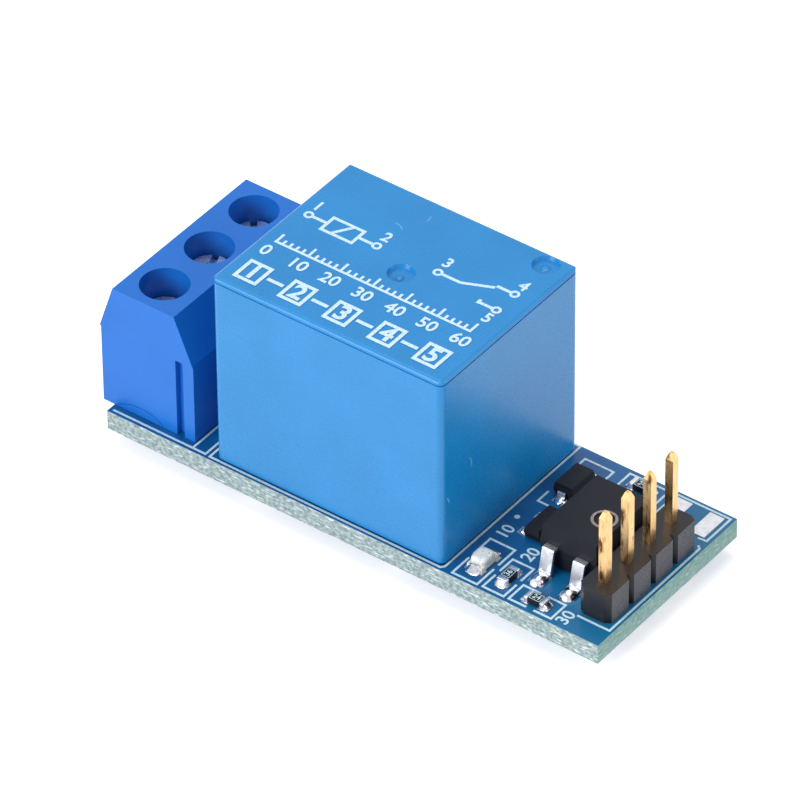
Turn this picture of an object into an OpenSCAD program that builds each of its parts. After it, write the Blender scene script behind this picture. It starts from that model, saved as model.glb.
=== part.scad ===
// Relay module board: one changeover relay, a three-way screw terminal, an input header
// and the surface-mounted parts that drive the coil.
// +X runs along the board from the screw terminal to the header, +Z is up.
// The lead tails under the board end at z = 0, and X and Y are centred on the whole module.

/* [Board] */
// Width of the board
board_w = 16.2; // [15.9:0.1:30]
// Thickness of the board
board_t = 1.6; // [0.8:0.1:2.4]
// Length of the leads below the board
tail = 1.4; // [1:0.1:3]
// Length of board kept for the small parts, between relay and header
parts_zone = 10; // [9.8:0.1:20]
// Thickness of the tinned pads
pad_t = 0.05; // [0.03:0.01:0.1]
// Radial room round a lead in its plated hole
hole_room = 0.15; // [0.05:0.01:0.3]
// Height of a solder cone under the board
cone_h = 0.9; // [0.4:0.1:0.9]

/* [Screw terminal] */
// Distance between neighbouring poles
pitch = 5; // [5:0.01:5.08]
// Depth of the housing, from wire side to relay side
term_w = 8; // [7.8:0.1:10]
// Height of the housing
term_h = 10.4; // [10.2:0.1:13]
// How far the housing overhangs the end of the board
term_over = 0.95; // [0:0.05:1.2]
// Offset of the housing from the board's centre line
term_y = 0.15; // [0:0.05:0.2]
// Height at which the upper slopes start
slope_z = 6.75; // [6.4:0.05:7.5]
// Inset of the top edge on the wire side
slope_wire = 1.2; // [0:0.1:1.5]
// Inset of the top edge on the relay side
slope_relay = 1.5; // [0:0.1:1.5]
// Depth to which the lower part of the end face is set back
end_step = 0.1; // [0:0.05:0.15]
// Width of the dovetail groove in the end face
groove_w = 0.65; // [0.4:0.05:0.8]
// Depth of the dovetail groove, measured from the upper end face
groove_d = 0.55; // [0.3:0.05:0.7]
// Offset of the screw axis from the housing's centre, towards the wire side
screw_in = 0.2; // [0:0.05:0.3]
// Diameter of the well above each screw
well_d = 3.55; // [3.3:0.05:3.7]
// Depth of each screw head below the top
head_depth = [2.2, 1.75, 1.95];
// Diameter of the screw head
head_d = 3.1; // [2.8:0.05:3.2]
// Height of the screw head
head_h = 0.9; // [0.8:0.05:1]
// Diameter of the screw's shank
shank_d = 2.5; // [2:0.1:2.6]
// Width of the driver slots
slot_w = 0.5; // [0.3:0.05:0.6]
// Radial running clearance of the screws
screw_play = 0.05; // [0.03:0.01:0.1]
// Width of the clamp cage, across the wire
cage_w = 3.7; // [3.5:0.1:3.8]
// Depth of the clamp cage, along the wire
cage_l = 3.4; // [3:0.1:3.6]
// Thickness of the cage's floor
cage_t = 0.6; // [0.5:0.05:0.8]
// Thickness of the cage's tapped top
nut_t = 1; // [0.8:0.1:1.1]
// Height of the cage's underside above the board when open
cage_z = 0.5; // [0.3:0.1:0.8]
// How far the cage rises when the screw is driven in
cage_rise = 1.3; // [1:0.1:1.4]
// Clearance round the sliding cage
cage_play = 0.1; // [0.05:0.01:0.15]
// Width of the contact plate in the cage
plate_w = 2; // [1.5:0.1:2.1]
// Thickness of the contact plate
plate_t = 0.6; // [0.4:0.1:0.8]
// Underside of the contact plate above the board
plate_z = 3.5; // [3.3:0.1:3.7]
// Width of the wire entry
entry_w = 3; // [2.6:0.1:3.2]
// Height of the wire entry
entry_h = 3.2; // [2.8:0.1:3.4]
// Sill of the wire entry above the board
entry_z = 0.9; // [0.7:0.1:1]
// Width of the shallow funnel round the entry, on each side
funnel = 0.4; // [0.2:0.05:0.5]

/* [Relay case] */
// Length of the relay
relay_l = 19.3; // [19:0.1:22]
// Width of the relay
relay_w = 15.5; // [15.3:0.1:15.8]
// Height of the relay's case
relay_h = 15.8; // [15.6:0.1:18]
// Gap between the case and the board
relay_gap = 0.2; // [0.1:0.05:0.5]
// Distance from the terminal housing to the relay
relay_space = 2.2; // [1:0.1:4]
// Wall thickness of the relay's cover
cover_wall = 0.9; // [0.6:0.1:1]
// Radius of the cover's upright edges
cover_r = 0.5; // [0.2:0.05:0.8]
// Radius of the cover's top edges
cover_top_r = 0.3; // [0.1:0.05:0.5]
// Depth of the fine line moulded just below the top edge
line_d = 0.07; // [0.03:0.01:0.1]
// Diameter of the two round dimples on top
dimple_d = 2; // [1:0.1:3]
// Depth of the dimples
dimple_depth = 0.3; // [0.1:0.05:0.5]
// Thickness of the relay's base
base_t = 1.6; // [1.2:0.1:1.8]

/* [Relay works] */
// Distance of the contact leads and the common lead from the ends of the case
lead_in = 2.55; // [2.45:0.05:2.65]
// Distance of the outer leads from the relay's centre line
lead_y = 6; // [5.9:0.05:6.1]
// Distance from the common lead to the coil leads along the relay
coil_step = 2; // [1.8:0.1:2.2]
// Thickness of the yoke
yoke_t = 1.1; // [0.8:0.1:1.3]
// Width of the yoke
yoke_w = 8; // [6:0.1:8.4]
// How much taller the case is than the yoke: base, armature, blade and upper contact
over_yoke = 6.3; // [6.1:0.1:6.8]
// Diameter of the coil's iron core
core_d = 3.2; // [2:0.1:3.6]
// Diameter of the core's pole head
pole_d = 5.4; // [4:0.1:6]
// Thickness of the pole head
pole_t = 0.7; // [0.5:0.1:0.9]
// Diameter of the wound coil
coil_d = 8.2; // [6:0.1:8.4]
// Thickness of the bobbin's flanges
flange_t = 0.7; // [0.5:0.1:0.9]
// Wall of the bobbin's tube
bobbin_wall = 0.6; // [0.4:0.1:0.8]
// Thickness of the armature
arm_t = 1; // [0.8:0.1:1.2]
// Length of the armature in front of its hinge edge
arm_l = 10; // [9:0.1:10.5]
// Angle through which the armature closes
arm_open = 2.2; // [1.5:0.1:2.5]
// Thickness of the contact spring
blade_t = 0.2; // [0.15:0.05:0.3]
// Width of the contact spring
blade_w = 4.4; // [3:0.1:5]
// Diameter of the contact rivets
rivet_d = 2; // [1.4:0.1:2.2]
// Height of a contact rivet's head
rivet_h = 0.4; // [0.3:0.05:0.45]
// Thickness of the fixed contact strips
strip_t = 0.5; // [0.4:0.05:0.6]
// Width of the fixed contact strips
strip_w = 2; // [1.5:0.1:2.2]
// Clearance between parts that meet when the armature moves
contact_play = 0.05; // [0.03:0.01:0.08]
// Thickness of the common lead's tab behind the yoke
tab_t = 0.4; // [0.3:0.05:0.5]
// Height of the common lead's tab
tab_h = 4; // [3:0.1:5]

/* [Header] */
// Pitch of the header
header_pitch = 2.54; // [2.5:0.01:2.6]
// Height of the header's plastic
header_h = 2.5; // [2:0.1:3]
// Distance from the header to the end of the board
header_margin = 0.58; // [0.3:0.01:2]
// Offset of the header from the board's centre line
header_y = -0.92; // [-1.2:0.01:0.2]
// Side of the square pins
pin_w = 0.64; // [0.5:0.02:0.7]
// Height of the pin tips above the board
pin_h = 8.5; // [7:0.1:12]
// Length of the tapered tip
pin_taper = 0.5; // [0.2:0.1:1]
// Depth of the notches between the header's blocks
notch = 0.3; // [0.1:0.05:0.5]

/* [Optocoupler] */
// Width of the optocoupler along the board
opto_l = 4.7; // [4.2:0.1:4.8]
// Length of the optocoupler across the board
opto_w = 6.5; // [6:0.1:6.8]
// Height of the optocoupler's top above the board
opto_h = 3.5; // [3:0.1:4]
// Span over the feet of its leads
opto_span = 10.3; // [9.6:0.1:10.4]
// Width of its leads
opto_lead_w = 0.95; // [0.6:0.05:1.2]
// Thickness of its leads
opto_lead_t = 0.25; // [0.2:0.01:0.3]
// Diameter of the round mark on its top
opto_mark_d = 1.5; // [1:0.1:2]
// Depth of the round mark
opto_mark_t = 0.1; // [0.05:0.05:0.2]

/* [Small parts] */
// Chip resistor length, width and height
chip = [1.6, 0.8, 0.45];
// Length of a chip's metal end
chip_end = 0.3; // [0.2:0.05:0.4]
// Light emitting diode length, width and height
led = [2, 1.25, 0.8];
// Transistor body width, length and height
sot = [1.3, 2.9, 1];
// Rectifier body width, length and height
sod = [1.6, 2.7, 1.1];
// Lead thickness of the transistor and the rectifier
smd_lead_t = 0.13; // [0.1:0.01:0.2]

/* [Hidden] */
$fn = 48;
poles = 3;
header_pins = 4;
eps = 0.01;
// Two faces of different solids that only touch are kept this far apart
seat = 0.02;

// Heights
board_top = tail + board_t;

// Places along the module, from the wire side of the terminal
header_w = header_pitch;
board_l = term_w - term_over + relay_space + relay_l + parts_zone + header_w + header_margin;
module_l = board_l + term_over;
module_x0 = -module_l / 2;
board_x0 = module_x0 + term_over;
board_x1 = board_x0 + board_l;
term_x = module_x0 + term_w / 2;
relay_x = module_x0 + term_w + relay_space + relay_l / 2;
relay_x1 = relay_x + relay_l / 2;
header_x = board_x1 - header_margin - header_w / 2;
front_y = -board_w / 2;

// Screw terminal
term_l = poles * pitch;
screw_x = term_x - screw_in;
function pole_y(i) = term_y + (i - (poles - 1) / 2) * pitch;
nut_z = plate_z + plate_t + screw_play;
cage_top = nut_z + nut_t;
cage_window = shank_d + 4 * screw_play;
chamber_h = cage_top + cage_rise + cage_play;
leg_x = cage_l / 2 - screw_in + cage_play + plate_t / 2 + 0.05;
chamber_x0 = -screw_in - cage_l / 2 - cage_play;
chamber_x1 = leg_x + plate_t / 2 + 0.05;
chamber_w = cage_w + 2 * cage_play;
term_pin_w = 0.9;
groove_x = chamber_x1 + 0.15 + groove_w / 2;

// Relay, in a frame at the centre of its underside, on the board
base_z0 = relay_gap;
base_z1 = base_z0 + base_t;
cover_top = relay_gap + relay_h;
common_x = relay_l / 2 - lead_in;
coil_x = common_x - coil_step;
lead_w = 0.8;
lead_t = 0.5;
yoke_x1 = common_x - lead_t;
yoke_z0 = base_z1 + 0.3;
yoke_z1 = base_z1 + 0.25 + relay_h - over_yoke;
bobbin_x1 = yoke_x1 - yoke_t - 0.1;
core_x = bobbin_x1 - coil_d / 2 - 0.1;
bobbin_z0 = yoke_z0 + yoke_t + seat;
pole_z1 = yoke_z1 - contact_play;
bobbin_z1 = pole_z1 - pole_t - seat;
tube_d = core_d + 2 * bobbin_wall;
hinge_x = yoke_x1;
hinge_z = yoke_z1 + contact_play;
contact_x = -common_x + 0.3;
contact_reach = hinge_x - contact_x;
blade_z = hinge_z + arm_t;
open_face_z = blade_z - rivet_h - contact_play;
closed_face_z = blade_z + blade_t + rivet_h + contact_play
    + (contact_reach + rivet_d / 2) * sin(arm_open);

// Places of the small parts, which line up with the sides of the relay
side_y = relay_w / 2;
led_at = [relay_x1 + 1.9, 2 - side_y];
led_res_at = [relay_x1 + 4.25, 1.7 - side_y];
in_res_at = [relay_x1 + 7.25, 0.8 - side_y];
base_res_at = [relay_x1 + 6.1, side_y - 0.95];
sot_at = [relay_x1 + 3.2, -0.55];
sod_at = [relay_x1 + 2.3, side_y - 3.55];
opto_at = [relay_x1 + 7.3, -0.2];
opto_pitch = 2.54;
opto_z0 = 0.15;
opto_lead_z = 1.95;
bare_pad = [1.2, 2.45];
bare_pad_gap = 2.65;
bare_pad_at = [board_x1 - 1.26, side_y - 1.4];
sot_pitch = 0.95;
sot_span = 2.4;
sod_span = 3.7;
foot_l = 0.45;

// ---------- shared shapes ----------

module on_board() {
    translate([0, 0, board_top]) children();
}

module in_relay() {
    translate([relay_x, 0, board_top]) children();
}

// Rectangle with round corners, as true arcs
module round_rect(size, r) {
    for (s = [[r, 0], [0, r]])
        translate([-size.x / 2 + s.x, -size.y / 2 + s.y])
            square([size.x - 2 * s.x, size.y - 2 * s.y]);
    for (x = [-1, 1], y = [-1, 1])
        translate([x * (size.x / 2 - r), y * (size.y / 2 - r)]) circle(r = r);
}

// Box centred in X and Y, standing on z = 0
module slab(size) {
    translate([-size.x / 2, -size.y / 2, 0]) cube(size);
}

// Outline of a bent strip of metal along a path, with round bends
module strip_2d(path, t) {
    for (i = [0 : len(path) - 2]) {
        run = path[i + 1] - path[i];
        translate(path[i]) rotate(atan2(run.y, run.x))
            translate([0, -t / 2]) square([norm(run), t]);
    }
    for (i = [1 : len(path) - 2]) translate(path[i]) circle(d = t);
}

// Bent strip of width w whose path runs outwards along X and up along Z
module strip(path, t, w) {
    translate([0, w / 2, 0]) rotate([90, 0, 0]) linear_extrude(w) strip_2d(path, t);
}

// Square bar with a tapered end; the taper points up
module tapered_bar(side, length, taper) {
    slab([side, side, length - taper]);
    translate([0, 0, length - taper]) rotate(45)
        cylinder(h = taper, r1 = side / sqrt(2), r2 = side * 0.45 / sqrt(2), $fn = 4);
}

// ---------- where the leads pass through the board ----------

header_spots = [for (i = [0 : header_pins - 1])
    [header_x, header_y + (i - (header_pins - 1) / 2) * header_pitch]];
term_spots = [for (i = [0 : poles - 1]) [term_x + leg_x, pole_y(i)]];
contact_spots = [for (s = [-1, 1]) [relay_x - common_x, s * lead_y]];
common_spot = [relay_x + common_x, 0];
coil_spots = [for (s = [-1, 1]) [relay_x + coil_x, s * lead_y]];
relay_spots = concat(contact_spots, [common_spot], coil_spots);
header_hole = pin_w * sqrt(2) + 2 * hole_room;
term_hole = norm([plate_t, term_pin_w]) + 2 * hole_room;
relay_hole = norm([lead_t, lead_w]) + 2 * hole_room;

module at_spots(spots) {
    for (p = spots) translate(p) children();
}

// ---------- board ----------

module circuit_board() {
    color("steelblue") difference() {
        translate([board_x0, front_y, tail]) cube([board_l, board_w, board_t]);
        translate([0, 0, tail - 1]) {
            at_spots(header_spots) cylinder(d = header_hole, h = board_t + 2);
            at_spots(term_spots) cylinder(d = term_hole, h = board_t + 2);
            at_spots(relay_spots) cylinder(d = relay_hole, h = board_t + 2);
        }
    }
}

// One solder cone round a lead, cut to the lead's own section
module cone(hole, section) {
    difference() {
        translate([0, 0, tail - cone_h])
            cylinder(r1 = norm(section) / 2 + 0.1, r2 = hole / 2 + 0.3, h = cone_h);
        translate([0, 0, tail - cone_h - 1]) slab([section.x, section.y, cone_h + 2]);
    }
}

module lead_solder() {
    color("silver") {
        at_spots(header_spots) cone(header_hole, [pin_w, pin_w]);
        at_spots(term_spots) cone(term_hole, [plate_t, term_pin_w]);
        at_spots(relay_spots) cone(relay_hole, [lead_t, lead_w]);
    }
}

// Feet of the small parts: place, size along X and Y
function chip_feet(at, size, along_y, end) = [for (s = [-1, 1])
    let (reach = size.x / 2 - end / 2)
    [at + (along_y ? [0, s * reach] : [s * reach, 0]), along_y ? [size.y, end] : [end, size.y]]];
opto_feet = [for (x = [-1, 1], y = [-1, 1])
    [opto_at + [x * opto_pitch / 2, y * (opto_span - foot_l * 2) / 2],
        [opto_lead_w, foot_l * 2]]];
sot_feet = concat(
    [for (y = [-1, 1]) [sot_at + [-(sot_span - foot_l) / 2, y * sot_pitch], [foot_l, foot_l]]],
    [[sot_at + [(sot_span - foot_l) / 2, 0], [foot_l, foot_l]]]);
sod_feet = [for (y = [-1, 1]) [sod_at + [0, y * (sod_span - foot_l) / 2], [0.7, foot_l]]];
chip_ends = concat(
    chip_feet(led_at, led, true, chip_end), chip_feet(led_res_at, chip, true, chip_end),
    chip_feet(in_res_at, chip, false, chip_end), chip_feet(base_res_at, chip, false, chip_end));

module pads(feet, border) {
    for (f = feet) translate(f[0]) slab([f[1].x + 2 * border, f[1].y + 2 * border, pad_t]);
}

module solder_pads() {
    color("lightgray") on_board() {
        pads(opto_feet, 0.15);
        pads(sot_feet, 0.12);
        pads(sod_feet, 0.15);
        pads(chip_ends, 0.12);
        for (i = [0, 1]) translate(bare_pad_at - [i * bare_pad_gap, 0])
            slab([bare_pad.x, bare_pad.y, pad_t]);
    }
}

// Solder fillet against the outer end of a chip: a low ramp on the pad
module fillet(f, away) {
    ramp = 0.28;
    turn = atan2(away.y, away.x);
    across = abs(away.x) > 0 ? f[1].y : f[1].x;
    deep = abs(away.x) > 0 ? f[1].x : f[1].y;
    translate(f[0]) rotate(turn) translate([deep / 2, across / 2, pad_t])
        rotate([90, 0, 0]) linear_extrude(across)
            difference() {
                square([ramp, ramp]);
                translate([ramp + eps, ramp + eps]) circle(r = ramp);
            }
}

module chip_fillets(at, size, along_y) {
    feet = chip_feet(at, size, along_y, chip_end);
    for (i = [0, 1]) {
        way = i * 2 - 1;
        fillet(feet[i], along_y ? [0, way] : [way, 0]);
    }
}

module pad_solder() {
    color("silver") on_board() {
        chip_fillets(led_at, led, true);
        chip_fillets(led_res_at, chip, true);
        chip_fillets(in_res_at, chip, false);
        chip_fillets(base_res_at, chip, false);
    }
}

// ---------- screw terminal ----------

// Outline of the housing seen along the row of poles, up to a given height
module term_outline() {
    polygon([[-term_w / 2, 0], [term_w / 2, 0], [term_w / 2, slope_z],
        [term_w / 2 - slope_relay, term_h], [-term_w / 2 + slope_wire, term_h],
        [-term_w / 2, slope_z]]);
}

module along_row(length) {
    translate([0, length / 2, 0]) rotate([90, 0, 0]) linear_extrude(length) children();
}

module wire_entry(y) {
    translate([-term_w / 2 - 1, y, entry_z]) {
        translate([0, -entry_w / 2, 0]) cube([term_w / 2 + 1 + chamber_x0 + eps, entry_w, entry_h]);
        translate([0, 0, entry_h / 2]) rotate([90, 0, 90]) linear_extrude(1 + funnel)
            round_rect([entry_w + 2 * funnel, entry_h + 2 * funnel], funnel);
    }
}

module pole_cuts(i) {
    y = pole_y(i) - term_y;
    head_z = term_h - head_depth[i] - head_h;
    translate([chamber_x0, y - chamber_w / 2, -1])
        cube([chamber_x1 - chamber_x0, chamber_w, chamber_h + 1]);
    translate([-screw_in, y, 0]) {
        translate([0, 0, head_z - screw_play]) cylinder(d = well_d, h = term_h);
        cylinder(d = shank_d + 6 * screw_play, h = term_h);
    }
    wire_entry(y);
}

module terminal_housing() {
    color("royalblue") on_board() translate([term_x, term_y, seat]) difference() {
        union() {
            along_row(term_l) term_outline();
            // Dovetail rib on the far end, which fits the groove of a neighbour
            translate([groove_x - groove_w / 2 + 0.05, term_l / 2 - eps, 0])
                cube([groove_w - 0.1, groove_d - 0.15, slope_z - 0.2]);
        }
        // The lower part of the near end face is set back, under the sloped top
        translate([-term_w, -term_l / 2 - 1, -1]) cube([2 * term_w, 1 + end_step, slope_z + 1 - 0.1]);
        translate([groove_x - groove_w / 2, -term_l / 2 - 1, -1])
            cube([groove_w, 1 + groove_d, slope_z + 1 - 0.1]);
        for (i = [0 : poles - 1]) pole_cuts(i);
    }
}

// Cheese-head screw with a crossed driver slot; its tip ends above the contact plate
module clamp_screw(i) {
    top = term_h - head_depth[i];
    tip = plate_z + plate_t + screw_play;
    color("gainsboro") on_board() translate([screw_x, pole_y(i), seat]) difference() {
        union() {
            translate([0, 0, top - head_h]) cylinder(d = head_d, h = head_h - 0.15);
            translate([0, 0, top - 0.15]) cylinder(d1 = head_d, d2 = head_d - 0.3, h = 0.15);
            translate([0, 0, tip]) cylinder(d = shank_d, h = top - head_h - tip + eps);
        }
        for (turn = [0, 90]) rotate(turn + 20 * i) translate([0, 0, top - head_h * 0.6])
            slab([head_d + 1, slot_w, head_h]);
        translate([0, 0, top - head_h * 0.75]) cylinder(d1 = slot_w, d2 = slot_w * 2.6, h = head_h);
    }
}

// Square loop of strip that draws the wire up against the contact plate
module clamp_cage(i) {
    color("goldenrod") on_board() translate([screw_x, pole_y(i), 0]) difference() {
        translate([0, 0, cage_z]) slab([cage_l, cage_w, cage_top - cage_z]);
        translate([0, 0, cage_z + cage_t])
            slab([cage_l + 1, cage_window, nut_z - cage_z - cage_t]);
        translate([0, 0, nut_z - eps]) cylinder(d = shank_d + 2 * screw_play, h = nut_t + 1);
    }
}

// Plate in the cage, bent down behind it into the lead that passes through the board
module terminal_contact(i) {
    mid = plate_z + plate_t / 2;
    color("khaki") translate([term_x, pole_y(i), board_top]) {
        intersection() {
            strip([[-screw_in - cage_l / 2, mid], [leg_x, mid], [leg_x, 0.3]], plate_t, plate_w);
            translate([0, 0, 0.3]) slab([term_w, plate_w, plate_z + plate_t]);
        }
        translate([leg_x, 0, -board_top]) slab([plate_t, term_pin_w, board_top + 0.3]);
    }
}

// ---------- relay ----------

module relay_lead(x, y, top) {
    translate([x, y, -board_top]) slab([lead_t, lead_w, board_top + top]);
}

module relay_base() {
    inner = [relay_l - 2 * cover_wall - 2 * seat, relay_w - 2 * cover_wall - 2 * seat, base_t];
    color("royalblue") in_relay() difference() {
        translate([0, 0, base_z0]) slab(inner);
        for (p = relay_spots) translate([p.x - relay_x, p.y, base_z0 - 1])
            slab([lead_t, lead_w, base_t + 2]);
    }
}

// Box with its upright edges and its top edges rounded by true arcs
module rounded_case(size, r, top_r) {
    intersection() {
        linear_extrude(size.z) round_rect([size.x, size.y], r);
        rotate([90, 0, 0]) translate([0, 0, -size.y]) linear_extrude(2 * size.y)
            arch(size.x, size.z, top_r);
        rotate([90, 0, 90]) translate([0, 0, -size.x]) linear_extrude(2 * size.x)
            arch(size.y, size.z, top_r);
    }
}

// Rectangle standing on the X axis with round upper corners
module arch(w, h, r) {
    translate([-w / 2, 0]) square([w, h - r]);
    translate([-w / 2 + r, 0]) square([w - 2 * r, h]);
    for (s = [-1, 1]) translate([s * (w / 2 - r), h - r]) circle(r = r);
}

module relay_cover() {
    line_z = cover_top - cover_top_r - 0.15;
    line_h = 0.12;
    corner = [relay_l / 2 - 1.85, relay_w / 2 - 1.2];
    color("dodgerblue") in_relay() difference() {
        translate([0, 0, relay_gap]) rounded_case([relay_l, relay_w, relay_h], cover_r, cover_top_r);
        translate([0, 0, relay_gap - 1])
            slab([relay_l - 2 * cover_wall, relay_w - 2 * cover_wall, relay_h - cover_wall + 1]);
        translate([0, 0, line_z]) difference() {
            slab([relay_l + 2, relay_w + 2, line_h]);
            translate([0, 0, -1]) linear_extrude(line_h + 2)
                round_rect([relay_l - 2 * line_d, relay_w - 2 * line_d], cover_r);
        }
        for (p = [[0.45, 0.1], corner]) translate([p.x, p.y, cover_top - dimple_depth])
            cylinder(d1 = dimple_d - 0.3, d2 = dimple_d, h = dimple_depth + eps);
    }
}

// L-shaped iron frame: a foot under the coil and an upright whose top carries the armature
module relay_yoke() {
    foot_l = yoke_x1 - core_x + pole_d / 2;
    color("lightslategray") in_relay() difference() {
        union() {
            translate([yoke_x1 - foot_l, -yoke_w / 2, yoke_z0]) cube([foot_l, yoke_w, yoke_t]);
            translate([yoke_x1 - yoke_t, -yoke_w / 2, yoke_z0])
                cube([yoke_t, yoke_w, yoke_z1 - yoke_z0]);
        }
        translate([core_x, 0, yoke_z0 - 1]) cylinder(d = core_d, h = yoke_t + 2);
    }
}

module coil_core() {
    color("slategray") in_relay() translate([core_x, 0, 0]) {
        translate([0, 0, yoke_z0]) cylinder(d = core_d - 2 * seat, h = pole_z1 - yoke_z0);
        translate([0, 0, pole_z1 - pole_t]) cylinder(d = pole_d, h = pole_t);
    }
}

module coil_bobbin() {
    flange = [bobbin_x1 - core_x, coil_d / 2 + 0.5];
    color("ivory") in_relay() translate([core_x, 0, bobbin_z0]) difference() {
        union() {
            for (z = [0, bobbin_z1 - bobbin_z0 - flange_t]) translate([0, 0, z])
                slab([2 * flange.x, 2 * flange.y, flange_t]);
            cylinder(d = tube_d, h = bobbin_z1 - bobbin_z0);
        }
        translate([0, 0, -1]) cylinder(d = core_d, h = bobbin_z1 - bobbin_z0 + 2);
    }
}

module coil_winding() {
    z0 = bobbin_z0 + flange_t + seat;
    z1 = bobbin_z1 - flange_t - seat;
    color("chocolate") in_relay() translate([core_x, 0, z0]) difference() {
        cylinder(d = coil_d, h = z1 - z0);
        translate([0, 0, -1]) cylinder(d = tube_d + 2 * seat, h = z1 - z0 + 2);
    }
}

// Parts drawn with the relay closed, tipped open about the yoke's top edge
module tipped_open() {
    in_relay() translate([hinge_x, 0, hinge_z]) rotate([0, arm_open, 0])
        translate([-hinge_x, 0, -hinge_z]) children();
}

module armature() {
    color("lightslategray") tipped_open() translate([hinge_x - arm_l, -yoke_w / 2, hinge_z])
        cube([arm_l, yoke_w, arm_t]);
}

// Springy blade on the armature, with the double moving contact and a tail behind the yoke
module contact_spring() {
    tail_x = hinge_x + 0.2;
    end_x = contact_x - rivet_d / 2 - 0.2;
    color("peru") tipped_open() {
        translate([end_x, -blade_w / 2, blade_z])
            cube([tail_x + blade_t - end_x, blade_w, blade_t]);
        translate([tail_x, -blade_w / 2, blade_z - 3]) cube([blade_t, blade_w, 3 + eps]);
        translate([contact_x, 0, blade_z - rivet_h])
            cylinder(d = rivet_d, h = blade_t + 2 * rivet_h);
    }
}

// Fixed contact: lead, upright by the case's wall and an arm that reaches in over Y
module fixed_contact(side, arm_z, rivet_z) {
    wall_y = relay_w / 2 - cover_wall - 0.15;
    top = arm_z + strip_t;
    color("khaki") in_relay() {
        relay_lead(-common_x, side * lead_y, base_z1 + 0.5);
        intersection() {
            translate([-common_x, 0, 0]) rotate([0, 0, side * 90]) strip([
                [lead_y, base_z1 + 0.2], [wall_y - strip_t / 2, base_z1 + 1.2],
                [wall_y - strip_t / 2, top - strip_t / 2],
                [-rivet_d / 2, top - strip_t / 2]], strip_t, strip_w);
            translate([-common_x, 0, base_z1 + 0.2]) slab([strip_w, relay_w, relay_h]);
        }
        translate([contact_x, 0, rivet_z]) cylinder(d = rivet_d, h = rivet_h + eps);
    }
}

module normally_open_contact() {
    fixed_contact(1, open_face_z - rivet_h - strip_t, open_face_z - rivet_h - eps);
}

module normally_closed_contact() {
    fixed_contact(-1, closed_face_z + rivet_h, closed_face_z);
}

module common_lead() {
    color("khaki") in_relay() {
        relay_lead(common_x, 0, base_z1 + 0.5);
        translate([yoke_x1 + seat, -strip_w / 2, yoke_z0]) cube([tab_t, strip_w, tab_h]);
        translate([common_x - lead_t / 2, -lead_w / 2, base_z1]) cube([lead_t, lead_w, 0.8]);
    }
}

module coil_lead(side) {
    color("khaki") in_relay() {
        relay_lead(coil_x, side * lead_y, bobbin_z0 + flange_t);
        translate([coil_x - lead_t / 2, side * lead_y - lead_w / 2, base_z1])
            cube([lead_t, lead_w, 2]);
    }
}

// ---------- header ----------

module header_body() {
    half = header_pitch / 2;
    cut = notch + 0.15;
    color("darkslategray") on_board() difference() {
        at_spots(header_spots) linear_extrude(header_h)
            polygon([for (q = [[1, 1], [-1, 1], [-1, -1], [1, -1]], s = [0, 1])
                let (early = (q.x * q.y > 0) == (s == 0))
                [q.x * (half - (early ? 0 : cut)), q.y * (half - (early ? notch : 0))]]);
        at_spots(header_spots) translate([0, 0, -1]) slab([pin_w, pin_w, header_h + 2]);
    }
}

module header_pin(i) {
    color("gold") translate(header_spots[i]) tapered_bar(pin_w, board_top + pin_h, pin_taper);
}

// ---------- optocoupler ----------

// Moulded body: two halves with draft above and below the leads
module drafted_body(size, z0, waist, draft) {
    top = size.z;
    hull() {
        translate([0, 0, z0]) slab([size.x - draft, size.y - draft, eps]);
        translate([0, 0, waist]) slab([size.x, size.y, eps]);
        translate([0, 0, top - eps]) slab([size.x - draft, size.y - draft, eps]);
    }
}

module optocoupler() {
    color("dimgray") on_board() translate(opto_at) difference() {
        drafted_body([opto_l, opto_w, opto_h], opto_z0, opto_lead_z, 0.35);
        translate([0.95, -0.4, opto_h - opto_mark_t]) cylinder(d = opto_mark_d, h = 1);
    }
}

module opto_leads() {
    foot_z = pad_t + opto_lead_t / 2;
    reach = opto_span / 2;
    color("silver") on_board() translate(opto_at)
        for (x = [-1, 1], y = [-1, 1]) translate([x * opto_pitch / 2, 0, 0])
            rotate(y * 90) strip([[opto_w / 2 + seat, opto_lead_z], [opto_w / 2 + 0.45, opto_lead_z],
                [opto_w / 2 + 0.85, foot_z], [reach, foot_z]], opto_lead_t, opto_lead_w);
}

// ---------- transistor and rectifier ----------

module drive_transistor() {
    color("dimgray") on_board() translate(sot_at)
        drafted_body(sot, 0.1, 0.55, 0.2);
}

// Gull-wing lead of a small body, from its waist down to the pad
module gull_lead(body_half, reach, w) {
    foot_z = pad_t + smd_lead_t / 2;
    strip([[body_half + seat, 0.55], [body_half + 0.12, 0.55], [body_half + 0.2, foot_z],
        [reach, foot_z]], smd_lead_t, w);
}

module transistor_leads() {
    color("silver") on_board() translate(sot_at) {
        for (y = [-1, 1]) translate([0, y * sot_pitch, 0])
            rotate(180) gull_lead(sot.x / 2, sot_span / 2, 0.42);
        gull_lead(sot.x / 2, sot_span / 2, 0.42);
    }
}

module flyback_diode() {
    color("dimgray") on_board() translate(sod_at)
        drafted_body(sod, 0.1, 0.55, 0.2);
}

module diode_leads() {
    color("silver") on_board() translate(sod_at)
        for (s = [-1, 1]) rotate(s * 90) gull_lead(sod.y / 2, sod_span / 2, 0.6);
}

// ---------- light emitting diode and chip resistors ----------

module led_base() {
    color("linen") on_board() translate([led_at.x, led_at.y, pad_t]) difference() {
        slab([led.y, led.x, led.z * 0.4]);
        for (s = [-1, 1]) translate([0, s * led.x / 2, -1]) cylinder(r = led.y * 0.2, h = led.z);
    }
}

module led_lens() {
    color("lavender") on_board() translate([led_at.x, led_at.y, pad_t + led.z * 0.4])
        hull() {
            slab([led.y, led.x * 0.7, eps]);
            translate([0, 0, led.z * 0.6 - eps]) slab([led.y - 0.1, led.x * 0.62, eps]);
        }
}

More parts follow.
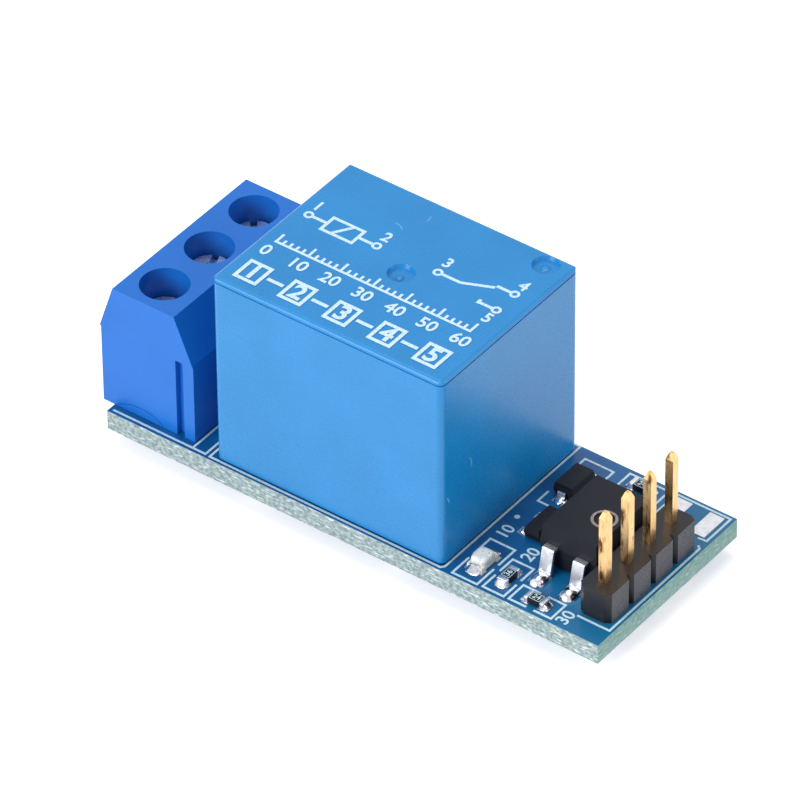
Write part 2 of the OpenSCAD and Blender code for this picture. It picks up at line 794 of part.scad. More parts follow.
module chip_resistor(at, along_y) {
    color("dimgray") on_board() translate([at.x, at.y, pad_t]) rotate(along_y ? 90 : 0) {
        slab([chip.x, chip.y, chip.z - 0.04]);
        slab([chip.x - 2 * chip_end, chip.y, chip.z]);
    }
}

// ---------- the module ----------

circuit_board();
solder_pads();
lead_solder();
pad_solder();
terminal_housing();
clamp_screw(0);  // clamp_screw_1
clamp_screw(1);  // clamp_screw_2
clamp_screw(2);  // clamp_screw_3
clamp_cage(0);  // clamp_cage_1
clamp_cage(1);  // clamp_cage_2
clamp_cage(2);  // clamp_cage_3
terminal_contact(0);  // terminal_contact_1
terminal_contact(1);  // terminal_contact_2
terminal_contact(2);  // terminal_contact_3
relay_base();
relay_cover();
coil_bobbin();
coil_winding();
coil_core();
relay_yoke();
armature();
contact_spring();
common_lead();
normally_open_contact();
normally_closed_contact();
coil_lead(-1);  // coil_lead_1
coil_lead(1);  // coil_lead_2
header_body();
header_pin(0);  // header_pin_1
header_pin(1);  // header_pin_2
header_pin(2);  // header_pin_3
header_pin(3);  // header_pin_4
optocoupler();
opto_leads();
drive_transistor();
transistor_leads();
flyback_diode();
diode_leads();
led_base();
led_lens();
chip_resistor(in_res_at, false);  // input_resistor
chip_resistor(led_res_at, true);  // led_resistor
chip_resistor(base_res_at, false);  // base_resistor
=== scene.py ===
# %% [markdown]
# # A relay module board, dressed in Blender
# The real object is a small blue circuit board that carries a screw terminal, a cube-shaped
# relay, a few surface-mounted parts and a pin header. The CAD model already holds every rigid
# piece at its real size. This lesson gives each piece its finish, and adds what is too fine for
# CAD: white print, solder, plated ends, mould marks and small scuffs.
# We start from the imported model, the frame, and take every position from it.

# %% Load the frame
import math
import bpy
import bmesh
import numpy as np
from mathutils import Matrix, Vector


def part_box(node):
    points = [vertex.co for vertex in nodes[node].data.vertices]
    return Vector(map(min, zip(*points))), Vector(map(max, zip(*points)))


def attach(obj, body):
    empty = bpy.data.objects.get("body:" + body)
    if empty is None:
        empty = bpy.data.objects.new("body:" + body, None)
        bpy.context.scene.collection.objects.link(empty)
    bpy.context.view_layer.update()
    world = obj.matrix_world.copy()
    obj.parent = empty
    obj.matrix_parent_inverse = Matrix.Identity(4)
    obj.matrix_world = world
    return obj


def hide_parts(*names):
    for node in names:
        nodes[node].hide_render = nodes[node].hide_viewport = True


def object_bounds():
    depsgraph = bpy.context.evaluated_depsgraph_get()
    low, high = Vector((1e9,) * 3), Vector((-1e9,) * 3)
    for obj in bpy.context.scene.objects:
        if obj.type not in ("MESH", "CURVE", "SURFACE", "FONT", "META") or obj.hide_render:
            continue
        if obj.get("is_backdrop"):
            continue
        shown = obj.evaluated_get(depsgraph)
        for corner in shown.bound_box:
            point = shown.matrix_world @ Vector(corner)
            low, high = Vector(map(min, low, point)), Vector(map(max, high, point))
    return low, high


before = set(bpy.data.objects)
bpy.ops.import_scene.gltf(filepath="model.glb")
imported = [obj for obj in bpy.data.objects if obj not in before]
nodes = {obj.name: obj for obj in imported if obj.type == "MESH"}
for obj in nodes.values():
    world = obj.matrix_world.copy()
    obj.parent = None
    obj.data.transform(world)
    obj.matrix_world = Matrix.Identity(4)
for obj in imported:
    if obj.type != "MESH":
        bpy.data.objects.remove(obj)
cad_low, cad_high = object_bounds()
MM = 0.001
print("CAD nodes:", len(nodes), "box in mm:", [round(s / MM, 2) for s in cad_high - cad_low])

# %% [markdown]
# Everything that the scene adds is placed from a few CAD boxes. A small helper turns a node's
# box into numpy corners, so that later cells can say "the right side of the relay" by name.

# %% Places taken from the frame


def corners(name):
    """Lowest and highest corner of a CAD node, as two arrays in metres."""
    low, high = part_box(name)
    return np.array(low), np.array(high)


def middle(name):
    """Centre of a CAD node's box."""
    low, high = corners(name)
    return (low + high) / 2


board_low, board_high = corners("circuit_board")
relay_low, relay_high = corners("relay_cover")
term_low, term_high = corners("terminal_housing")
header_low, header_high = corners("header_body")
board_top = board_high[2]
relay_mid = middle("relay_cover")
print("board top at", round(board_top / MM, 2), "mm, relay top at", round(relay_high[2] / MM, 2))

# %% [markdown]
# ## Camera
# A product shot of a small part is taken from far away with a long lens, so that parallel edges
# stay nearly parallel. The camera stands at 37 degrees round from the front and 40 degrees up.
# We build its three axes by hand, because that also lets us add the half degree of tilt that a
# hand-levelled tripod leaves.

# %% Camera
CAMERA_ROUND = math.radians(37.127)
CAMERA_UP = math.radians(39.517)
CAMERA_TILT = math.radians(-0.588)
CAMERA_FAR = 577.64 * MM
LENS = 380.1
AIM_RIGHT = -1.292 * MM
AIM_UP = 4.416 * MM


def make_camera():
    """Camera on the direction given by the two angles, aimed at a point above the board's centre."""
    back = Vector((math.sin(CAMERA_ROUND) * math.cos(CAMERA_UP),
                   -math.cos(CAMERA_ROUND) * math.cos(CAMERA_UP), math.sin(CAMERA_UP)))
    right = Vector((math.cos(CAMERA_ROUND), math.sin(CAMERA_ROUND), 0))
    up = back.cross(right)
    board_mid = Vector((*((board_low + board_high) / 2)[:2], board_top))
    aim = board_mid + right * AIM_RIGHT + up * AIM_UP
    side = right * math.cos(CAMERA_TILT) + up * math.sin(CAMERA_TILT)
    turned = Matrix((side, back.cross(side), back)).transposed().to_4x4()
    data = bpy.data.cameras.new("camera")
    data.lens = LENS
    data.sensor_width = 36
    data.clip_start = 0.05
    data.clip_end = 20
    camera = bpy.data.objects.new("camera", data)
    camera.matrix_world = Matrix.Translation(aim + back * CAMERA_FAR) @ turned
    bpy.context.scene.collection.objects.link(camera)
    bpy.context.scene.camera = camera
    return camera


camera = make_camera()
print("camera at", [round(x, 3) for x in camera.location])

# %% [markdown]
# ## Helpers for shader nodes
# Colours are written as the hex values a designer would pick, and one function turns them to the
# linear values that the renderer adds up. One more function adds a node with its settings and
# links, so that each material below reads as a short list of what its surface is made of.
# A pattern's scale comes from a real size: a noise with features of 0.2 mm has a scale of
# one over 0.2 mm.

# %% Colour and node helpers


def linear(hex_colour):
    """sRGB hex to linear: a channel c becomes c / 12.92 up to 0.04045,
    and ((c + 0.055) / 1.055) ** 2.4 above it."""
    c = np.array([int(hex_colour[i:i + 2], 16) for i in (1, 3, 5)]) / 255
    value = np.where(c <= 0.04045, c / 12.92, ((c + 0.055) / 1.055) ** 2.4)
    return (*value.tolist(), 1.0)


def add(tree, kind, sockets=None, **settings):
    """Add a shader node; sockets maps an input's name or number to a value or to a socket to link."""
    made = tree.nodes.new(kind)
    for name, value in settings.items():
        setattr(made, name, value)
    for name, value in (sockets or {}).items():
        if isinstance(value, bpy.types.NodeSocket):
            tree.links.new(value, made.inputs[name])
        else:
            made.inputs[name].default_value = value
    return made


def surface(name, sockets):
    """New material of one Principled shader; returns the material, its tree and the shader."""
    made = bpy.data.materials.new(name)
    made.use_nodes = True
    tree = made.node_tree
    shader = tree.nodes["Principled BSDF"]
    for key, value in sockets.items():
        shader.inputs[key].default_value = value
    return made, tree, shader


def per(size_mm):
    """Scale of a pattern whose features are size_mm wide."""
    return 1 / (size_mm * MM)


def here(tree, stretch=(1, 1, 1)):
    """Object coordinates, squeezed by stretch along each axis."""
    where = add(tree, "ShaderNodeTexCoord")
    return add(tree, "ShaderNodeMapping", {"Vector": where.outputs["Object"], "Scale": stretch}).outputs[0]


def noise(tree, size_mm, detail=2, stretch=(1, 1, 1)):
    """Soft noise with features size_mm wide."""
    return add(tree, "ShaderNodeTexNoise", {"Vector": here(tree, stretch), "Scale": per(size_mm),
                                            "Detail": detail}).outputs["Fac"]


def ramp(tree, fac, low, high, out_low=0.0, out_high=1.0):
    """Map fac from low..high to out_low..out_high, clamped."""
    return add(tree, "ShaderNodeMapRange", {"Value": fac, "From Min": low, "From Max": high,
                                            "To Min": out_low, "To Max": out_high}).outputs[0]


def mix(tree, fac, a, b):
    """Mix two colours, given as hex or as sockets."""
    made = add(tree, "ShaderNodeMix", data_type="RGBA")
    for index, value in ((0, fac), (6, a), (7, b)):
        if isinstance(value, bpy.types.NodeSocket):
            tree.links.new(value, made.inputs[index])
        else:
            made.inputs[index].default_value = linear(value) if isinstance(value, str) else value
    return made.outputs[2]


def bump(tree, shader, height, depth_mm):
    """Raise the surface by up to depth_mm where height is 1."""
    made = add(tree, "ShaderNodeBump", {"Height": height, "Distance": depth_mm * MM, "Strength": 1.0})
    tree.links.new(made.outputs[0], shader.inputs["Normal"])


def maths(tree, operation, a, b=0.0):
    """One sum of two values or sockets."""
    return add(tree, "ShaderNodeMath", {0: a, 1: b}, operation=operation).outputs[0]


print("hex #808080 in linear:", round(linear("#808080")[0], 4))

# %% [markdown]
# ## Floor, world and lights
# The part lies on a plain white sweep. The floor glows a little to the camera and in reflections,
# by way of its Light Path mix, and still takes the part's shadow. The world is plain white to
# the camera in the same way, and gives the part a soft, even fill.

# %% Floor and world
FLOOR_WIDE = 3.0
FLOOR_LOW = 0.02 * MM
FILL = 0.46
FLOOR_GLOW = 0.45


def seen_directly(tree):
    """1 for rays from the camera, and for reflected and refracted rays; 0 for light on the object."""
    path = add(tree, "ShaderNodeLightPath")
    mirrored = maths(tree, "MAXIMUM", path.outputs["Is Glossy Ray"], path.outputs["Is Transmission Ray"])
    return maths(tree, "MAXIMUM", path.outputs["Is Camera Ray"], mirrored)


def make_floor():
    """Flat square under the lead tips, marked as stage."""
    h = FLOOR_WIDE / 2
    data = bpy.data.meshes.new("floor")
    data.from_pydata([(-h, -h, 0), (h, -h, 0), (h, h, 0), (-h, h, 0)], [], [(0, 1, 2, 3)])
    data.transform(Matrix.Translation((0, 0, cad_low.z - FLOOR_LOW)))
    made = bpy.data.objects.new("floor", data)
    bpy.context.scene.collection.objects.link(made)
    paint = bpy.data.materials.new("matt_white_card")
    paint.use_nodes = True
    tree = paint.node_tree
    tree.nodes.clear()
    card = add(tree, "ShaderNodeBsdfDiffuse", {"Color": linear("#f2f2f2")})
    glow = add(tree, "ShaderNodeEmission", {"Color": (1, 1, 1, 1), "Strength": FLOOR_GLOW})
    both = add(tree, "ShaderNodeAddShader", {0: card.outputs[0], 1: glow.outputs[0]})
    pick = add(tree, "ShaderNodeMixShader", {0: seen_directly(tree), 1: card.outputs[0], 2: both.outputs[0]})
    add(tree, "ShaderNodeOutputMaterial", {"Surface": pick.outputs[0]})
    data.materials.append(paint)
    made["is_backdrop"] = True


def make_world():
    """Even white fill of strength FILL, and plain white where the camera or a reflection sees it."""
    made = bpy.data.worlds.new("studio")
    made.use_nodes = True
    tree = made.node_tree
    tree.nodes.clear()
    fill = add(tree, "ShaderNodeBackground", {"Color": (1, 1, 1, 1), "Strength": FILL})
    plain = add(tree, "ShaderNodeBackground", {"Color": (1, 1, 1, 1), "Strength": 1.0})
    pick = add(tree, "ShaderNodeMixShader", {0: seen_directly(tree), 1: fill.outputs[0], 2: plain.outputs[0]})
    add(tree, "ShaderNodeOutputWorld", {"Surface": pick.outputs[0]})
    bpy.context.scene.world = made


make_floor()
make_world()
bpy.context.scene.view_settings.view_transform = "Standard"
print("floor at", round((cad_low.z - FLOOR_LOW) / MM, 3), "mm")

# %% [markdown]
# One large softbox on the front left makes the front faces the brightest. A second one overhead
# lights the top, and a weak one on the right lifts that side only a little.

# %% Lights


def softbox(name, place, size, watts):
    """Square area lamp at a place, aimed at the middle of the part; size is its side in metres."""
    data = bpy.data.lights.new(name, "AREA")
    data.size = size
    data.energy = watts
    lamp = bpy.data.objects.new(name, data)
    at = Vector(place)
    aim = Vector((0, 0, cad_high.z / 2))
    lamp.matrix_world = Matrix.Translation(at) @ (aim - at).to_track_quat("-Z", "Y").to_matrix().to_4x4()
    bpy.context.scene.collection.objects.link(lamp)


softbox("front_softbox", (-0.22, -0.75, 0.40), 0.45, 5.9)
softbox("top_softbox", (-0.10, 0.10, 0.80), 0.50, 2.4)
softbox("side_softbox", (0.70, 0.30, 0.35), 0.40, 1.9)

# %% [markdown]
# ## Moulded plastics
# The relay's case and the terminal are injection moulded. Such a surface copies its steel mould:
# it is smooth at arm's length, has a very fine grain close up, and its colour drifts slightly
# where the melt flowed. So each plastic is one Principled shader with a soft drift in colour, a
# fine noise in roughness and a shallow bump. The terminal's lower specular level keeps its blue
# deep.

# %% Plastic finishes
FLOW_MM = 5
GRAIN_MM = 0.12
GRAIN_DEEP_MM = 0.002
ROUGH_DRIFT = 0.05


def plastic(name, colour, drift_colour, roughness, specular=0.35):
    """Moulded plastic: colour drifts over FLOW_MM, roughness and height vary over GRAIN_MM."""
    made, tree, shader = surface(name, {"Specular IOR Level": specular, "IOR": 1.5})
    flow = ramp(tree, noise(tree, FLOW_MM, 3), 0.35, 0.65)
    tree.links.new(mix(tree, flow, colour, drift_colour), shader.inputs["Base Color"])
    grain = noise(tree, GRAIN_MM, 2)
    rough = ramp(tree, grain, 0.3, 0.7, roughness - ROUGH_DRIFT, roughness + ROUGH_DRIFT)
    tree.links.new(rough, shader.inputs["Roughness"])
    bump(tree, shader, grain, GRAIN_DEEP_MM)
    return made


relay_blue = plastic("moulded_pbt_sky_blue", "#0d82c6", "#0c7cbe", 0.30, 0.5)
terminal_blue = plastic("moulded_polyamide_royal_blue", "#126cc8", "#1167c1", 0.38)
relay_base_plastic = plastic("moulded_pbt_relay_base", "#1a62b4", "#185cab", 0.5)
bobbin_plastic = plastic("moulded_pbt_natural", "#e4dcc6", "#dcd3bb", 0.5)
print("plastics:", relay_blue.name, terminal_blue.name)

# %% [markdown]
# The header is glass-filled nylon. Its faces are near black. The faces that look along +X are
# painted a paler grey with a sandy grain. That grey is a painted sheen for the white floor that
# they reflect, and those faces are also rougher. The same material tells them apart by the
# direction in which the face looks.

# %% Header and epoxy


def header_plastic():
    """Black nylon; faces that look along +X are rougher and painted paler with a sandy grain, a painted sheen
    for the white floor they reflect.
    """
    made, tree, shader = surface("glass_filled_nylon_black", {"Specular IOR Level": 0.4})
    facing = add(tree, "ShaderNodeNewGeometry").outputs["Normal"]
    along_x = add(tree, "ShaderNodeSeparateXYZ", {0: facing}).outputs[0]
    # Faces that look along +X get a painted sheen: a paler grey that stands for the white floor they reflect.
    painted_sheen_side = ramp(tree, along_x, 0.7, 0.95)
    sand = noise(tree, 0.09, 3)
    painted_sheen_grey = mix(tree, ramp(tree, sand, 0.35, 0.65), "#3c3c43", "#5a5a62")
    tree.links.new(mix(tree, painted_sheen_side, "#15151b", painted_sheen_grey), shader.inputs["Base Color"])
    tree.links.new(ramp(tree, painted_sheen_side, 0, 1, 0.38, 0.62), shader.inputs["Roughness"])
    bump(tree, shader, sand, 0.006)
    return made


def epoxy(name, low, high, roughness=0.55):
    """Transfer-moulded epoxy: dark, matt, with a fine filler grain."""
    made, tree, shader = surface(name, {"Specular IOR Level": 0.25, "Roughness": roughness})
    grain = noise(tree, 0.07, 3)
    tree.links.new(mix(tree, ramp(tree, grain, 0.3, 0.7), low, high), shader.inputs["Base Color"])
    bump(tree, shader, grain, 0.004)
    return made


header_black = header_plastic()
epoxy_black = epoxy("moulded_epoxy_black", "#0e0f18", "#161721")
chip_black = epoxy("resistor_overglaze_black", "#101014", "#1a1a1f", 0.35)
print("dark plastics:", header_black.name, epoxy_black.name)

# %% [markdown]
# ## Metals
# Bare metals differ mostly in colour and in how their surface was made. Plated steel is bright
# and slightly brushed by the driver, solder froze from a liquid so it is smooth with soft dents,
# and the gold of the header pins shows dark smears where the plating was wiped; on the faces
# turned to the front there are more of them, and that part is a painted dark reflection.

# %% Metal finishes
ROUGH_SPREAD = 0.12


def metal(name, colour, worn_colour, roughness, patch_mm, depth_mm=0.003, stretch=(1, 1, 1)):
    """Metal whose colour drifts in patches patch_mm wide, where it is rougher by ROUGH_SPREAD."""
    made, tree, shader = surface(name, {"Metallic": 1.0})
    patches = noise(tree, patch_mm, 3, stretch)
    worn = ramp(tree, patches, 0.42, 0.68)
    tree.links.new(mix(tree, worn, colour, worn_colour), shader.inputs["Base Color"])
    rough = ramp(tree, patches, 0.3, 0.7, roughness, roughness + ROUGH_SPREAD)
    tree.links.new(rough, shader.inputs["Roughness"])
    bump(tree, shader, patches, depth_mm)
    return made


solder = metal("reflowed_tin_solder", "#e9e9ee", "#b9bac6", 0.12, 0.35, 0.02)
tin = metal("hot_air_levelled_tin", "#dcdde2", "#c4c6ce", 0.3, 0.5, 0.006)
plated_steel = metal("zinc_plated_steel", "#f4f4f8", "#b9bac6", 0.24, 0.3, 0.012)
tinned_brass = metal("tinned_brass_strip", "#d6d3c8", "#bdb9aa", 0.28, 0.6)
cage_brass = metal("bright_nickel_on_brass", "#cdbb8e", "#b39f6f", 0.25, 0.8)
soft_iron = metal("soft_iron_zinc_flash", "#a9abb0", "#8f9299", 0.3, 0.8)
spring_bronze = metal("phosphor_bronze_strip", "#c99a62", "#b5854f", 0.25, 0.9)
copper_wire = metal("enamelled_copper_wire", "#a8552c", "#8b3f1e", 0.3, 0.12, 0.02, (1, 1, 6))
print("metals:", solder.name, tin.name, plated_steel.name)

# %% [markdown]
# A header pin is drawn from square brass wire and flashed with gold. The draw leaves faint
# lengthwise lines. In a few patches the gold is wiped to a dark brown. The faces turned to the
# front get more of these dark patches, and that part is a painted dark reflection. The patches
# are long, so the noise is squeezed along Z.

# %% Gold pins


def gold_flash():
    """Gold on drawn brass wire with lengthwise lines and brown rubbed patches; faces turned to the front get
    more of them, as a painted dark reflection.
    """
    made, tree, shader = surface("gold_flash_on_brass_wire", {"Metallic": 1.0})
    lines = noise(tree, 0.08, 2, (1, 1, 0.08))
    patches = noise(tree, 0.6, 3, (1, 1, 0.35))
    facing = add(tree, "ShaderNodeNewGeometry").outputs["Normal"]
    # Faces turned to the front get more of the dark brown patches: a painted dark reflection.
    front = maths(tree, "MULTIPLY", add(tree, "ShaderNodeSeparateXYZ", {0: facing}).outputs[1], -0.12)
    wiped_and_dark_reflection = ramp(tree, maths(tree, "ADD", patches, front), 0.62, 0.78)
    warm = mix(tree, ramp(tree, lines, 0.3, 0.7), "#f2cd98", "#dfb074")
    tree.links.new(mix(tree, wiped_and_dark_reflection, warm, "#5b3d1e"), shader.inputs["Base Color"])
    tree.links.new(ramp(tree, lines, 0.3, 0.7, 0.24, 0.38), shader.inputs["Roughness"])
    bump(tree, shader, lines, 0.006)
    return made


gold_pin = gold_flash()
print("pins:", gold_pin.name)

# %% [markdown]
# ## The bare board
# A circuit board is layers of woven glass in epoxy, with copper foil on both faces and a thin
# coloured lacquer, the solder mask, over it. The mask is glossy and a little see-through, so the
# weave shows as a faint grid, and it is a little greener towards the header's end. The cut edges
# show raw glass: grey and green, mottled, with white fibres that lie along the edge. One material
# does both, because the face's own direction says whether it is a lacquered face or a cut edge.

# %% Board finish
# Real threads lie about half a millimetre apart, too fine to show here. At scale 1 the wave texture
# runs through WAVE_RATE radians in each unit, so these bands repeat every 2 pi * BAND_MM, or 3.5 mm.
BAND_MM = 0.55
WAVE_RATE = 20
GREENER_FROM = 0.72


def board_finish():
    """Blue solder mask on faces that look up or down, raw glass laminate on the cut edges."""
    made, tree, shader = surface("fr4_with_blue_solder_mask", {"Specular IOR Level": 0.5})
    facing = add(tree, "ShaderNodeNewGeometry").outputs["Normal"]
    split = add(tree, "ShaderNodeSeparateXYZ", {0: facing}).outputs
    flat = maths(tree, "GREATER_THAN", maths(tree, "ABSOLUTE", split[2]), 0.7)
    where = add(tree, "ShaderNodeSeparateXYZ", {0: here(tree)}).outputs

    bands = {"Vector": here(tree), "Scale": per(BAND_MM) / WAVE_RATE, "Distortion": 0.4}
    weave_x = add(tree, "ShaderNodeTexWave", bands, bands_direction="X").outputs["Fac"]
    weave_y = add(tree, "ShaderNodeTexWave", bands, bands_direction="Y").outputs["Fac"]
    weave = maths(tree, "MULTIPLY", maths(tree, "ADD", weave_x, weave_y), 0.5)
    cloud = maths(tree, "ADD", maths(tree, "MULTIPLY", weave, 0.35), noise(tree, 2.2, 3))
    mask = mix(tree, ramp(tree, cloud, 0.4, 0.9), "#034d85", "#075d97")
    greener_x = board_low[0] + GREENER_FROM * (board_high[0] - board_low[0])
    far_end = ramp(tree, where[0], greener_x, board_high[0])
    mask = mix(tree, maths(tree, "MULTIPLY", far_end, 0.6), mask, "#0b7196")

    fibre = noise(tree, 0.16, 3, (0.25, 0.25, 1.6))
    speck = noise(tree, 0.3, 4)
    glass = mix(tree, ramp(tree, speck, 0.38, 0.62), "#76898c", "#a3b5b6")
    glass = mix(tree, ramp(tree, fibre, 0.56, 0.7), glass, "#dfe8ea")
    green = mix(tree, ramp(tree, where[2], board_low[2], board_high[2]), "#86b0a6", "#579a90")
    glass = mix(tree, maths(tree, "MULTIPLY", maths(tree, "ABSOLUTE", split[0]), 0.55), glass, green)

    tree.links.new(mix(tree, flat, glass, mask), shader.inputs["Base Color"])
    tree.links.new(ramp(tree, flat, 0, 1, 0.75, 0.3), shader.inputs["Roughness"])
    rough_cut = maths(tree, "MULTIPLY", maths(tree, "ADD", fibre, speck), ramp(tree, flat, 0, 1, 1.0, 0.0))
    height = maths(tree, "ADD", rough_cut, maths(tree, "MULTIPLY", weave, ramp(tree, flat, 0, 1, 0, 0.12)))
    bump(tree, shader, height, 0.03)
    return made


board = board_finish()
print("board:", board.name)

# %% [markdown]
# White ink and the diode's lens are nearly even, so each has only a little drift: thin spots in
# the ink, clouds and specks of dust in the lens.

# %% Print and lens finishes


def ink(name, colour, fade, roughness=0.6):
    """Screen-printed epoxy ink: nearly even, thinner in small spots where the screen let less through."""
    made, tree, shader = surface(name, {"Roughness": roughness, "Specular IOR Level": 0.3})
    thin = ramp(tree, noise(tree, 0.15, 3), 0.52, 0.75)
    tree.links.new(mix(tree, thin, colour, fade), shader.inputs["Base Color"])
    return made


def milky_lens():
    """Yellowish milky epoxy over the diode: light scatters in it, and dust sits on it as specks."""
    made, tree, shader = surface("milky_epoxy_lens", {
        "Roughness": 0.22, "Subsurface Weight": 0.5, "Subsurface Scale": 0.3 * MM,
        "Subsurface Radius": (1.0, 0.9, 0.8), "Coat Weight": 0.3})
    specks = ramp(tree, noise(tree, 0.16, 4), 0.6, 0.68)
    cloud = mix(tree, ramp(tree, noise(tree, 0.5, 2), 0.35, 0.65), "#eceff0", "#d3dadb")
    tree.links.new(mix(tree, specks, cloud, "#8d8a86"), shader.inputs["Base Color"])
    return made


white_ink = ink("white_board_ink", "#c6dde8", "#7fb2d0")
pad_ink = ink("white_pad_ink_on_plastic", "#c9e2f6", "#7fb8e8", 0.5)
led_epoxy = milky_lens()
led_board = epoxy("white_led_carrier", "#e9e6dc", "#d8d4c8", 0.6)
print("print and lens:", white_ink.name, led_epoxy.name)

# %% [markdown]
# Each CAD node keeps its shape and takes a finish by its material slot. The record names one
# slot for each node, so a small table from slot to finish dresses them all.

# %% Dress the CAD nodes
FINISHES = {
    "board": board, "tin": tin, "solder": solder, "terminal_blue": terminal_blue,
    "plated_steel": plated_steel, "cage_brass": cage_brass, "tinned_brass": tinned_brass,
    "relay_base_plastic": relay_base_plastic, "relay_blue": relay_blue,
    "bobbin_plastic": bobbin_plastic, "copper_wire": copper_wire, "soft_iron": soft_iron,
    "spring_bronze": spring_bronze, "header_black": header_black, "gold_pin": gold_pin,
    "epoxy_black": epoxy_black, "led_board": led_board, "led_epoxy": led_epoxy, "chip": chip_black}

slots_used = set()
for node in nodes.values():
    slot = node.data.materials[0].name.split(".")[0]
    node.data.materials[0] = FINISHES[slot]
    slots_used.add(slot)
print("finishes in use:", len(slots_used), "of", len(FINISHES))

# %% [markdown]
# ## Making meshes from arrays
# Every added piece is worked out as whole arrays of points. Two forms cover most of them: a grid,
# where each point is a function of two parameters, and a bar, which is a rectangle carried along
# a line of points. Several such parts are joined into one mesh, because print, for example, is
# many strokes but one thing.

# %% Mesh helpers


def grid_faces(rows, columns, closed=False):
    """Quads of a grid of points in row order; closed joins the last column to the first."""
    r, c = np.meshgrid(np.arange(rows - 1), np.arange(columns if closed else columns - 1), indexing="ij")
    r, c = r.ravel(), c.ravel()
    n = (c + 1) % columns
    return np.stack([r * columns + c, r * columns + n, (r + 1) * columns + n, (r + 1) * columns + c], 1)


def bar(points, width, height, z, closed=False):
    """Flat bar along a line of 2D points in mm.
    At each point the side vector is the mitre: the sum of the two neighbouring normals, made
    longer by one over the cosine of half the turn, so that the bar keeps its width at a bend."""
    p = np.array(points, float)
    before = p - np.roll(p, 1, 0)
    after = np.roll(p, -1, 0) - p
    if not closed:
        before[0], after[-1] = after[0], before[-1]
    before /= np.linalg.norm(before, axis=1)[:, None]
    after /= np.linalg.norm(after, axis=1)[:, None]
    side = np.stack([before[:, 1] + after[:, 1], -before[:, 0] - after[:, 0]], 1)
    side /= np.linalg.norm(side, axis=1)[:, None]
    cosine = np.clip(side[:, 0] * before[:, 1] - side[:, 1] * before[:, 0], 0.5, 1)
    side *= (width / 2 / cosine)[:, None]
    ring = np.stack([p - side, p + side, p + side, p - side], 1)
    level = np.broadcast_to(np.array([z, z, z + height, z + height])[:, None], (len(p), 4, 1))
    verts = np.concatenate([ring, level], 2).reshape(-1, 3)
    rows = len(p)
    faces = grid_faces(rows, 4, True)
    if closed:
        last = (rows - 1) * 4 + np.arange(4)
        faces = np.concatenate([faces, np.stack([last, (rows - 1) * 4 + (np.arange(4) + 1) % 4,
                                                 (np.arange(4) + 1) % 4, np.arange(4)], 1)])
    else:
        last = (rows - 1) * 4 + np.arange(4)
        faces = np.concatenate([faces, [[3, 2, 1, 0]], [last]])
    return verts, faces


def build(name, parts, finish, body="module", smooth=False, stagger=0.0):
    """Join (points in mm, faces) parts into one object at the origin that rides on a body.
    stagger lifts each part that many mm above the one before, so crossing strokes share no face."""
    parts = [(v + [0, 0, k * stagger], f) for k, (v, f) in enumerate(parts)]
    starts = np.cumsum([0] + [len(v) for v, _ in parts])
    verts = np.concatenate([v for v, _ in parts]) * MM
    faces = [list(map(int, f)) for start, (_, fs) in zip(starts, parts) for f in (np.asarray(fs) + start)]
    data = bpy.data.meshes.new(name)
    data.from_pydata(verts, [], faces)
    work = bmesh.new()
    work.from_mesh(data)
    bmesh.ops.remove_doubles(work, verts=work.verts, dist=1e-7)
    bmesh.ops.recalc_face_normals(work, faces=work.faces)
    work.to_mesh(data)
    work.free()
    data.polygons.foreach_set("use_smooth", np.full(len(data.polygons), smooth))
    data.materials.append(finish)
    made = bpy.data.objects.new(name, data)
    bpy.context.scene.collection.objects.link(made)
    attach(made, body)
    print(name, "faces:", len(data.polygons))
    return made


def numeral(text, tall, at, z, height=0.02, turn=0.0, bold=0.0):
    """Plain figures as a thin solid, centred on at, turned by turn degrees and stood on z.
    The built-in digits are 0.7 of the font's size high, so the size is tall / 0.7 for a height of
    tall mm. bold widens the strokes by that many mm."""
    curve = bpy.data.curves.new("figures", "FONT")
    curve.body = text
    curve.align_x = curve.align_y = "CENTER"
    curve.size = tall / 0.7
    curve.extrude = height / 2
    curve.offset = bold
    curve.resolution_u = 4
    shape = bpy.data.objects.new("figures", curve)
    bpy.context.scene.collection.objects.link(shape)
    bpy.context.view_layer.update()
    data = bpy.data.meshes.new_from_object(shape)
    points = np.zeros(len(data.vertices) * 3)
    data.vertices.foreach_get("co", points)
    faces = [list(p.vertices) for p in data.polygons]
    bpy.data.objects.remove(shape)
    bpy.data.curves.remove(curve)
    points = points.reshape(-1, 3)
    c, s = math.cos(math.radians(turn)), math.sin(math.radians(turn))
    points[:, :2] = points[:, :2] @ np.array([[c, s], [-s, c]])
    points += [at[0], at[1], z + height / 2]
    triangles = [[f[0], f[i], f[i + 1]] for f in faces for i in range(1, len(f) - 1)]
    return points, np.array(triangles)


def circle_points(centre, radius, count=28):
    """Points evenly spaced round a circle."""
    turn = np.arange(count) * 2 * math.pi / count
    return np.stack([centre[0] + radius * np.cos(turn), centre[1] + radius * np.sin(turn)], 1)


print("a bar of 3 points has", len(bar([(0, 0), (1, 0), (1, 1)], 0.2, 0.02, 0)[0]), "corners")

# %% [markdown]
# ## White print on the board
# A board's white print frames each part, so that a person can place it. The strokes are STROKE mm
# wide, and a box has a gap in the middle of its long sides where a pad or a track passes. Each
# frame is placed from the piece that it surrounds: the small numbers below are the distances in mm
# from that piece's sides, or from its middle in framed(). The labels are plain numbers.

# %% Print on the board
STROKE = 0.17
INK_THICK = 0.02
STAGGER = 0.0004
top_mm = board_top / MM
relay_a, relay_b = relay_low / MM, relay_high / MM
term_b = term_high / MM
head_a, head_b = header_low / MM, header_high / MM


